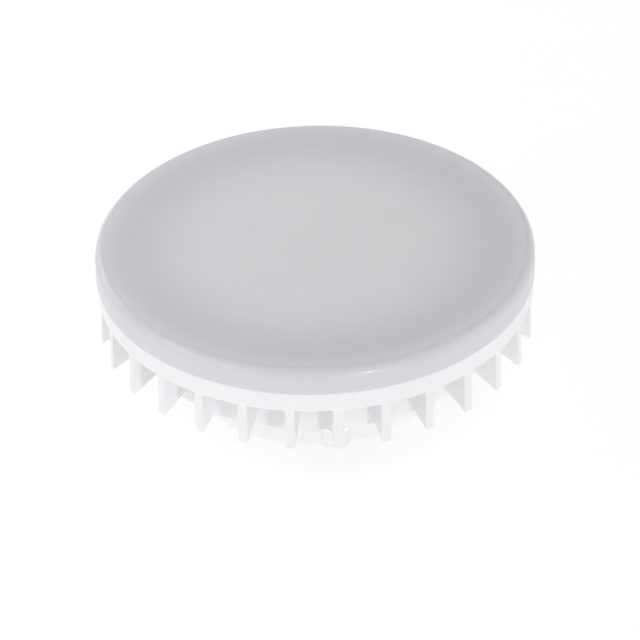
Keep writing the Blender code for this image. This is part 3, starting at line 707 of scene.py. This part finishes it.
def make_contact_pins():
    """Turned pins: a mushroom head, a neck and the flange inside the seating plate."""
    for node in ("contact_pin_front", "contact_pin_rear"):
        x, y, end, top = place_of(node)
        shoulder = end + PIN_HEAD_LENGTH
        flange = top - PIN_FLANGE_THICKNESS
        rim = PIN_HEAD_RADIUS - PIN_EDGE
        profile = [
            (0.0, top),
            *arc((PIN_FLANGE_RADIUS - PIN_ROUND, top - PIN_ROUND), PIN_ROUND, 90, 0, steps=5),
            (PIN_FLANGE_RADIUS, flange),
            (PIN_NECK_RADIUS, flange),
            (PIN_NECK_RADIUS, shoulder + PIN_ROUND),
            (PIN_NECK_RADIUS + PIN_ROUND, shoulder),
            *arc((rim, shoulder - PIN_EDGE), PIN_EDGE, 90, 0, steps=8),
            *arc((rim, end + PIN_EDGE), PIN_EDGE, 0, -90, steps=8),
            (0.0, end),
        ]
        pin = finish_mesh(node + "_turned", move(revolve(profile, PIN_TURN), x, y), NICKEL)
        stand_for(pin, node)


def make_heat_spreader():
    """The pressed dish, with its edges rounded."""
    spreader = finish_mesh("heat_spreader_dish", node_copy("heat_spreader"), ALUMINIUM)
    stand_for(bevel(spreader, SPREADER_EDGE), "heat_spreader")


def make_light_board():
    """The light board, with its copper lands standing a little proud under the white resist."""
    board = finish_mesh("light_board_disc", node_copy("light_board"), SOLDER_RESIST_WHITE)
    stand_for(bevel(board, BOARD_EDGE), "light_board")
    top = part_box("light_board")[1].z
    lands = bmesh.new()
    radii = []
    for first, count in CHIP_RINGS:
        x, y = plan_of(f"light_chip_{first:02d}")
        radius = math.hypot(x, y)
        radii.append(radius)
        start = math.degrees(math.atan2(y, x))
        gap = math.degrees(CHIP_WIDTH * LAND_CLEARANCE / radius)
        for step in range(count - 1):
            azimuth = start + 360 * step / count
            span = (azimuth + gap, azimuth + 360 / count - gap)
            merge(lands, arc_strip(radius, CHIP_LENGTH, top - LAND_HEIGHT, top + LAND_HEIGHT, *span))
    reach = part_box("board_connector")[1].x
    length = radii[0] - reach
    for side in (-1, 1):
        centre = (side * (reach + length / 2), 0.0, top)
        merge(lands, block((length, LAND_WIDTH, LAND_HEIGHT), centre))
    finish_mesh("light_board_lands", lands, LAND_WHITE)


def make_light_chips():
    """Light chips: a white package, its phosphor window and its two soldered ends."""
    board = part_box("light_board")[1].z
    reach = (CHIP_LENGTH - CHIP_END) / 2
    for number in range(1, sum(count for _, count in CHIP_RINGS) + 1):
        node = f"light_chip_{number:02d}"
        x, y, low, high = place_of(node)
        shape = node_copy(node)
        for face in shape.faces:
            sunk = face.calc_center_median().z < high - CHIP_WINDOW_DEPTH / 2
            face.material_index = 1 if sunk and face.normal.z > FACING_UP else 0
        azimuth = math.atan2(y, x)
        size = (CHIP_END, CHIP_WIDTH * CHIP_END_SHARE, low - board)
        for side in (-1, 1):
            across, along = side * reach * math.cos(azimuth), side * reach * math.sin(azimuth)
            merge(shape, block(size, (x + across, y + along, (board + low) / 2), azimuth), 2)
        chip = finish_mesh(node + "_package", shape, CHIP_WHITE, PHOSPHOR, TIN)
        stand_for(bevel(chip, PACKAGE_EDGE), node)


def make_connector():
    """Push-in terminal: two wire ports in its side, two release slots in its top and two soldered feet."""
    x, y, low, high = place_of("board_connector")
    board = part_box("light_board")[1].z
    shape = node_copy("board_connector")
    for side in (-1, 1):
        centre = (x + side * FOOT_REACH, y, (board + low) / 2)
        merge(shape, block((FOOT_WIDTH, FOOT_LENGTH, low - board), centre), 1)
    connector = finish_mesh("board_connector_body", shape, NYLON, TIN)
    for side in (-1, 1):
        centre = (x + side * LEAD_SPACING / 2, y + SLOT_OFFSET, high)
        cut(connector, block((SLOT_WIDTH, SLOT_LENGTH, SLOT_DEPTH * 2), centre))
    stand_for(bevel(connector, CONNECTOR_EDGE), "board_connector")


def make_screws():
    """Pan-head screws with a cross recess and a rolled thread."""
    crown = SCREW_HEAD_HEIGHT / 2
    for number in (1, 2, 3):
        node = f"board_screw_{number}"
        x, y, tip, head = place_of(node)
        seat = head - SCREW_HEAD_HEIGHT
        start, end = seat - THREAD_PITCH / 2, tip + SCREW_SHANK_RADIUS

        def thread(radius, height, angle):
            """The shank's radius with the thread cut into it."""
            if not end < height < start:
                return radius
            phase = (height / THREAD_PITCH - angle / math.tau) % 1.0
            return radius - THREAD_DEPTH * min(1.0, abs(2 * phase - 1) * THREAD_STEEPNESS)

        rows = ROWS_PER_TURN * int((start - end) / THREAD_PITCH)
        profile = [(0.0, head), *arc((SCREW_HEAD_RADIUS - crown, head - crown), crown, 90, 0, steps=10)]
        profile += [(SCREW_HEAD_RADIUS, seat), (SCREW_SHANK_RADIUS, seat)]
        profile += [(SCREW_SHANK_RADIUS, start + (end - start) * row / rows) for row in range(rows + 1)]
        profile += [(SCREW_SHANK_RADIUS / 3, tip), (0.0, tip)]
        screw = finish_mesh(node + "_threaded", move(revolve(profile, SMALL_TURN, thread), x, y), ZINC)
        for turn in (RECESS_AZIMUTH, RECESS_AZIMUTH + math.pi / 2):
            cut(screw, block((RECESS_LENGTH, RECESS_WIDTH, RECESS_DEPTH * 2), (x, y, head), turn))
        stand_for(screw, node)


def make_packages():
    """Surface-mount packages: a moulded black body with a pin-one dimple, and tinned legs."""
    for node, _ in PACKAGE_PADS:
        lowest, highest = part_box(node)
        middle = (lowest.y + highest.y) / 2
        shape = node_copy(node)
        for face in shape.faces:
            reach = max(abs(vertex.co.y - middle) for vertex in face.verts)
            face.material_index = 1 if reach > PACKAGE_WIDTH / 2 + JOIN_DISTANCE * 5 else 0
        package = finish_mesh(node + "_package", shape, EPOXY, TIN)
        corner = (lowest.x + DIMPLE_INSET, middle - PACKAGE_WIDTH / 2 + DIMPLE_INSET)
        levels = (highest.z - DIMPLE_DEPTH, highest.z + DIMPLE_CUTTER_RISE)
        cut(package, rod(*corner, *levels, DIMPLE_RADIUS, PAD_TURN))
        stand_for(bevel(package, PACKAGE_EDGE), node)


def add_legs(shape, node, top, index, x=0.0, y=0.0):
    """Adds a component's pair of legs, about this place, down to the tips of their joints."""
    across, along = LEG_REACHES[node]
    for side in (-1, 1):
        merge(shape, rod(x + side * across, y + side * along, JOINT_TIP, top, LEG_RADIUS), index)


def make_can_capacitors():
    """Electrolytic cans: a shrink sleeve with its pale stripe, a scored aluminium top and two legs."""
    for node in ("input_capacitor", "output_capacitor"):
        x, y, low, top = place_of(node)
        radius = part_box(node)[1].x - x
        edge = radius / 6
        groove = low + (top - low) / 6
        lip = radius * CAN_LIP
        profile = [(0.0, top - CAN_SINK), (lip, top - CAN_SINK), (lip + CAN_SINK, top)]
        profile += arc((radius - edge, top - edge), edge, 90, 0, steps=8)
        profile += [(radius, top - (top - groove) * share) for share in (0.25, 0.5, 0.75)]
        for step in range(GROOVE_HALF_STEPS, -GROOVE_HALF_STEPS - 1, -1):
            share = step / GROOVE_HALF_STEPS
            profile.append((radius - edge / 4 * (1 + math.cos(math.pi * share)), groove + edge * share))
        profile += [(radius, low + edge / 3), (radius - edge / 3, low), (0.0, low)]
        shape = revolve(profile, SMALL_TURN)
        for face in shape.faces:
            centre = face.calc_center_median()
            azimuth = math.atan2(centre.y, centre.x)
            if math.hypot(centre.x, centre.y) < lip and centre.z > top - CAN_SINK * 2:
                face.material_index = 1
            elif math.cos(azimuth - STRIPE_AZIMUTH) > STRIPE_COSINE and low + edge < centre.z < top - edge:
                face.material_index = 2
        add_legs(shape, node, low + JOIN_DISTANCE, 3)
        can = finish_mesh(node + "_can", move(shape, x, y), SLEEVE, ALUMINIUM, STRIPE, TIN)
        for turn in (SCORE_AZIMUTH, SCORE_AZIMUTH + math.pi / 2):
            cut(can, block((lip * SCORE_LENGTH, SCORE_WIDTH, CAN_SINK), (x, y, top - CAN_SINK), turn))
        stand_for(can, node)


def make_film_capacitor():
    """A moulded box on two legs."""
    shape = node_copy("film_capacitor")
    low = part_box("film_capacitor")[0].z
    add_legs(shape, "film_capacitor", low + LEG_SINK, 1, *plan_of("film_capacitor"))
    box = finish_mesh("film_capacitor_box", shape, FILM_BOX, TIN)
    stand_for(bevel(box, FILM_EDGE, segments=3), "film_capacitor")


def make_inductor():
    """A ferrite drum with its enamelled winding."""
    x, y, low, top = place_of("inductor")
    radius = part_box("inductor")[1].x - x
    flange = (top - low) / 7
    winding = radius * WAIST
    upper, lower = top - flange, low + flange

    def turns(reach, height, angle):
        """The waist's radius over the round wires."""
        if not lower < height < upper or reach > winding:
            return reach
        phase = (height / WIRE_PITCH - angle / math.tau) % 1.0
        return reach - WIRE_PITCH / 2 * (1 - math.sqrt(max(0.0, 1 - (2 * phase - 1) ** 2)))

    rows = ROWS_PER_TURN * int((upper - lower) / WIRE_PITCH)
    rim = radius - INDUCTOR_EDGE
    profile = [(0.0, top), *arc((rim, top - INDUCTOR_EDGE), INDUCTOR_EDGE, 90, 0, steps=5)]
    profile += [(radius, upper), (winding, upper)]
    profile += [(winding, upper + (lower - upper) * row / rows) for row in range(1, rows)]
    profile += [(winding, lower), (radius, lower)]
    profile += [*arc((rim, low + INDUCTOR_EDGE), INDUCTOR_EDGE, 0, -90, steps=5), (0.0, low)]
    shape = revolve(profile, SMALL_TURN, turns)
    for face in shape.faces:
        centre = face.calc_center_median()
        wound = lower < centre.z < upper and math.hypot(centre.x, centre.y) < winding
        face.material_index = 1 if wound else 0
    add_legs(shape, "inductor", low + JOIN_DISTANCE, 2)
    drum = finish_mesh("inductor_drum", move(shape, x, y), FERRITE, COPPER, TIN)
    stand_for(drum, "inductor")


def make_resistor():
    """A fusible resistor on end, with its colour rings and its upper wire bent back to the board."""
    lowest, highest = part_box("fusible_resistor")
    radius = RESISTOR_RADIUS
    wire = radius / 5
    waist = radius * WAIST
    edge = radius / 3
    foot = lowest.z + wire * 2
    top = highest.z - wire * 3 - radius
    upper, lower = top - radius - edge, foot + radius + edge
    rings = [(upper + (lower - upper) * share, index) for share, index in RESISTOR_RINGS]
    stops = []
    for middle, _ in rings:
        stops += [(waist, middle + RING_WIDTH / 2), (waist, middle - RING_WIDTH / 2)]
    profile = [(0.0, top), *arc((radius - edge, top - edge), edge, 90, 0, steps=6), (radius, top - radius)]
    profile += [(waist, upper), *stops, (waist, lower), (radius, foot + radius)]
    profile += [*arc((radius - edge, foot + edge), edge, 0, -90, steps=6), (0.0, foot)]
    shape = revolve(profile, SMALL_TURN)
    for face in shape.faces:
        height = face.calc_center_median().z
        for middle, index in rings:
            if abs(height - middle) < RING_WIDTH / 4:
                face.material_index = index
    bend = arc((radius, top + wire * 2), radius, 180, 0, steps=16)
    route = [(0.0, 0.0, top - edge), *((across, 0.0, z) for across, z in bend), (radius * 2, 0.0, JOINT_TIP)]
    merge(shape, tube(route, wire), 4)
    merge(shape, rod(0.0, 0.0, JOINT_TIP, foot + edge, wire), 4)
    move(shape, lowest.x + radius, (lowest.y + highest.y) / 2)
    materials = (RESISTOR_COAT, INSULATION_RED, INSULATION_BLACK, COPPER, TIN)
    resistor = finish_mesh("fusible_resistor_body", shape, *materials)
    stand_for(resistor, "fusible_resistor")


def driver_joints():
    """Where the legs of the driver's components pass through their board."""
    joints = []
    for node, (across, along) in LEG_REACHES.items():
        x, y = plan_of(node)
        joints += [(x - across, y - along), (x + across, y + along)]
    lowest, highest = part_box("fusible_resistor")
    return joints + [(lowest.x + RESISTOR_RADIUS * place, (lowest.y + highest.y) / 2) for place in (1, 3)]


def make_driver_board():
    """The driver board, with its tracks under the green resist, its pads and the solder below it."""
    low, high = (corner.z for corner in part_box("driver_board"))
    shape = node_copy("driver_board")
    joints = driver_joints()
    solder = [
        (0.0, high + LAND_HEIGHT),
        (PAD_RADIUS, high + LAND_HEIGHT),
        (PAD_RADIUS, low - LAND_HEIGHT),
        (SOLDER_RADIUS, low - LAND_HEIGHT),
        (SOLDER_WAIST, low - SOLDER_WAIST_DEPTH),
        (SOLDER_END, JOINT_TIP + SOLDER_END_LENGTH),
        (0.0, JOINT_TIP),
    ]
    for joint in joints:
        merge(shape, move(revolve(solder, PAD_TURN), *joint), 1)
    for order, (start, end) in enumerate(TRACKS):
        (x0, y0), (x1, y1) = joints[start], joints[end]
        height = LAND_HEIGHT * (TRACK_THICKNESS + TRACK_GROWTH * order)
        size = (math.hypot(x1 - x0, y1 - y0), LAND_WIDTH, height)
        merge(shape, block(size, ((x0 + x1) / 2, (y0 + y1) / 2, high), math.atan2(y1 - y0, x1 - x0)), 2)
    for node, count in PACKAGE_PADS:
        lowest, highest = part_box(node)
        pitch = (highest.x - lowest.x) / (count * 2 + 1) * 2
        size = (pitch * PACKAGE_PAD_SHARE, PACKAGE_PAD_LENGTH, lowest.z - high)
        for y in (lowest.y + PACKAGE_PAD_INSET, highest.y - PACKAGE_PAD_INSET):
            for step in range(count):
                x = (lowest.x + highest.x) / 2 + (step - (count - 1) / 2) * pitch
                merge(shape, block(size, (x, y, (high + lowest.z) / 2)), 1)
    board = finish_mesh("driver_board_disc", shape, SOLDER_RESIST_GREEN, TIN, LAND_GREEN)
    stand_for(board, "driver_board")


def make_leads():
    """Insulated leads, rounder than their solids."""
    for node, material, slot in (
        ("pin_lead_front", INSULATION_WHITE, "white_lead"),
        ("pin_lead_rear", INSULATION_WHITE, "white_lead"),
        ("board_lead_negative", INSULATION_BLACK, "black_lead"),
        ("board_lead_positive", INSULATION_RED, "red_lead"),
    ):
        lead = finish_mesh(node + "_insulation", node_copy(node), material)
        smoother = lead.modifiers.new("round", "SUBSURF")
        smoother.levels = LEAD_SUBDIVISIONS
        smoother.render_levels = LEAD_SUBDIVISIONS
        stand_for(settle(lead), node)


# Studio


def see_white(tree):
    """1 for camera, glossy and transmission rays, which see the plain white ground."""
    path = tree.nodes.new("ShaderNodeLightPath")
    total = path.outputs["Is Camera Ray"]
    for name in ("Is Glossy Ray", "Is Transmission Ray"):
        either = add_node(tree, "ShaderNodeMath", total, path.outputs[name])
        either.operation = "MAXIMUM"
        total = either.outputs[0]
    return total


def choose(tree, factor, first, second):
    """The first shader where the factor is 0, and the second where it is 1."""
    return add_node(tree, "ShaderNodeMixShader", factor, first, second).outputs[0]


def glowing_grey(tree, reflectance, strength):
    """A diffuse grey with a white glow of this strength."""
    diffuse = add_node(tree, "ShaderNodeBsdfDiffuse", Color=(reflectance, reflectance, reflectance, 1.0))
    glow = add_node(tree, "ShaderNodeEmission", Color=PLAIN_WHITE, Strength=strength)
    return add_node(tree, "ShaderNodeAddShader", diffuse.outputs[0], glow.outputs[0]).outputs[0]


def make_floor():
    """A floor that looks white with a faint painted shadow round the object, lights it evenly, and hides
    nothing from below."""
    mesh = bpy.data.meshes.new("floor")
    half = FLOOR_SIZE / 2
    corners = [(-half, -half, 0), (half, -half, 0), (half, half, 0), (-half, half, 0)]
    mesh.from_pydata(corners, [], [(0, 1, 2, 3)])
    floor = add_object("floor", mesh)
    floor.location.z = -FLOOR_DROP
    material = bpy.data.materials.new("floor")
    material.use_nodes = True
    tree = material.node_tree
    tree.nodes.clear()
    # Painted shadow: the glow is less where the object shuts the floor in
    openness = add_node(tree, "ShaderNodeAmbientOcclusion", Distance=SHADOW_REACH).outputs["AO"]
    glow = spread(tree, openness, FLOOR_GLOW - SHADOW_DEPTH, FLOOR_GLOW, 0.0, 1.0)
    shown = glowing_grey(tree, FLOOR_SHADE, glow)
    lighting = glowing_grey(tree, FLOOR_BOUNCE, FLOOR_LIGHT)
    above = choose(tree, see_white(tree), lighting, shown)
    below = tree.nodes.new("ShaderNodeNewGeometry").outputs["Backfacing"]
    clear = tree.nodes.new("ShaderNodeBsdfTransparent").outputs[0]
    add_node(tree, "ShaderNodeOutputMaterial", Surface=choose(tree, below, above, clear))
    mesh.materials.append(material)


def make_world():
    """A soft sky that lights the object, in front of a plain white ground."""
    world = bpy.data.worlds.new("studio")
    bpy.context.scene.world = world
    world.use_nodes = True
    tree = world.node_tree
    tree.nodes.clear()
    direction = tree.nodes.new("ShaderNodeTexCoord").outputs["Generated"]
    height = add_node(tree, "ShaderNodeSeparateXYZ", direction).outputs["Z"]
    level = spread(tree, height, SKY_HORIZON, SKY_TOP, 0.0, SKY_BAND)
    sky = add_node(tree, "ShaderNodeBackground", Color=PLAIN_WHITE, Strength=level)
    ground = add_node(tree, "ShaderNodeBackground", Color=PLAIN_WHITE, Strength=1.0)
    shown = choose(tree, see_white(tree), sky.outputs[0], ground.outputs[0])
    add_node(tree, "ShaderNodeOutputWorld", Surface=shown)


def aim(obj, place, target):
    """Puts a light or camera at a place and turns it to a target."""
    obj.location = place
    obj.rotation_mode = "QUATERNION"
    obj.rotation_quaternion = (target - place).to_track_quat("-Z", "Y")


def make_light(name, direction, distance, size, level):
    """A round area light that brings a white surface facing it to this level."""
    lamp = bpy.data.lights.new(name, "AREA")
    lamp.shape = "DISK"
    lamp.size = size
    lamp.energy = level * math.pi**2 * distance**2
    obj = add_object(name, lamp)
    obj.visible_camera = False
    aim(obj, VIEW_TARGET + direction.normalized() * distance, VIEW_TARGET)


def make_camera():
    """The photograph's view."""
    camera = bpy.data.cameras.new("camera")
    camera.sensor_width = SENSOR_WIDTH
    camera.lens = SENSOR_WIDTH * VIEW_DISTANCE / VIEW_WIDTH
    camera.clip_start = VIEW_DISTANCE / 10
    camera.clip_end = VIEW_DISTANCE * 10
    obj = add_object("camera", camera)
    back = Vector((0.0, -math.cos(VIEW_ELEVATION), math.sin(VIEW_ELEVATION)))
    aim(obj, VIEW_TARGET + back * VIEW_DISTANCE, VIEW_TARGET)
    obj.rotation_quaternion = obj.rotation_quaternion @ Quaternion((0.0, 0.0, 1.0), -VIEW_ROLL)
    bpy.context.scene.camera = obj


make_cover()
make_housing()
make_contact_pins()
make_heat_spreader()
make_light_board()
make_light_chips()
make_connector()
make_screws()
make_packages()
make_can_capacitors()
make_film_capacitor()
make_inductor()
make_resistor()
make_driver_board()
make_leads()
make_floor()
make_world()
for name, lamp in LAMPS.items():
    make_light(name, *lamp)
make_camera()
bpy.context.scene.view_settings.view_transform = "Standard"
